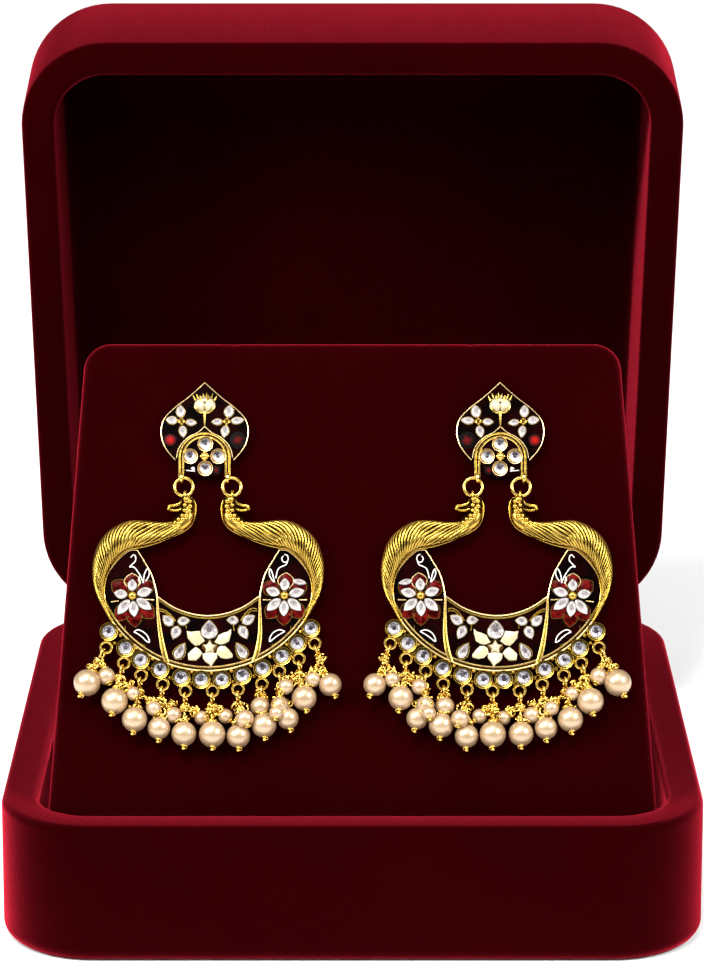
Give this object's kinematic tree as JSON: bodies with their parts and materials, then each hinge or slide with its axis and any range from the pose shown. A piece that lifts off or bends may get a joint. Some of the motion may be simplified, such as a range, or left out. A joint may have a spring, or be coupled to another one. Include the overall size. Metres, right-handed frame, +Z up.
{
  "type": "pair of chandbali earrings on a leaning card in a hinged jewellery box",
  "caption": "Crescent chandbali earrings with peacock shoulders, set stones and pearl drops, pinned to a leaning velvet card in an open, hinged velvet box.",
  "frame": {"origin": "centre of the flat underside of the box's base", "axes": "+X to the box's right side as seen from the front, -Y to the front, +Z up"},
  "size_m": [0.13, 0.155, 0.1444],
  "materials": {
    "velvet_base": "flocked velvet, crimson",
    "velvet_card": "flocked velvet, dark crimson",
    "velvet_lid": "flocked velvet, crimson",
    "gold": "antique gold plate with dark recesses",
    "pearl": "soft pearl gloss, on gold wire",
    "hinge_brass": "dull brass"
  },
  "bodies": {
    "box": {"box_base": "velvet_base", "display_card": "velvet_card", "hinge_left_base_leaf": "hinge_brass", "hinge_right_base_leaf": "hinge_brass", "left_stud": "gold", "left_jump_ring_outer": "gold", "left_jump_ring_inner": "gold", "left_crescent": "gold", "left_pearl_drop_01": "pearl", "left_pearl_drop_02": "pearl", "left_pearl_drop_03": "pearl", "left_pearl_drop_04": "pearl", "left_pearl_drop_05": "pearl", "left_pearl_drop_06": "pearl", "left_pearl_drop_07": "pearl", "left_pearl_drop_08": "pearl", "left_pearl_drop_09": "pearl", "left_pearl_drop_10": "pearl", "left_pearl_drop_11": "pearl", "right_stud": "gold", "right_jump_ring_outer": "gold", "right_jump_ring_inner": "gold", "right_crescent": "gold", "right_pearl_drop_01": "pearl", "right_pearl_drop_02": "pearl", "right_pearl_drop_03": "pearl", "right_pearl_drop_04": "pearl", "right_pearl_drop_05": "pearl", "right_pearl_drop_06": "pearl", "right_pearl_drop_07": "pearl", "right_pearl_drop_08": "pearl", "right_pearl_drop_09": "pearl", "right_pearl_drop_10": "pearl", "right_pearl_drop_11": "pearl"},
    "lid": {"box_lid": "velvet_lid", "hinge_left_lid_leaf": "hinge_brass", "hinge_right_lid_leaf": "hinge_brass"}
  },
  "joints": [
    {"name": "lid_hinge", "type": "hinge", "parent": "box", "child": "lid", "pos_m": [0, 0.0584, 0.0272], "axis": [1, 0, 0], "range_deg": [0, 55]}
  ]
}
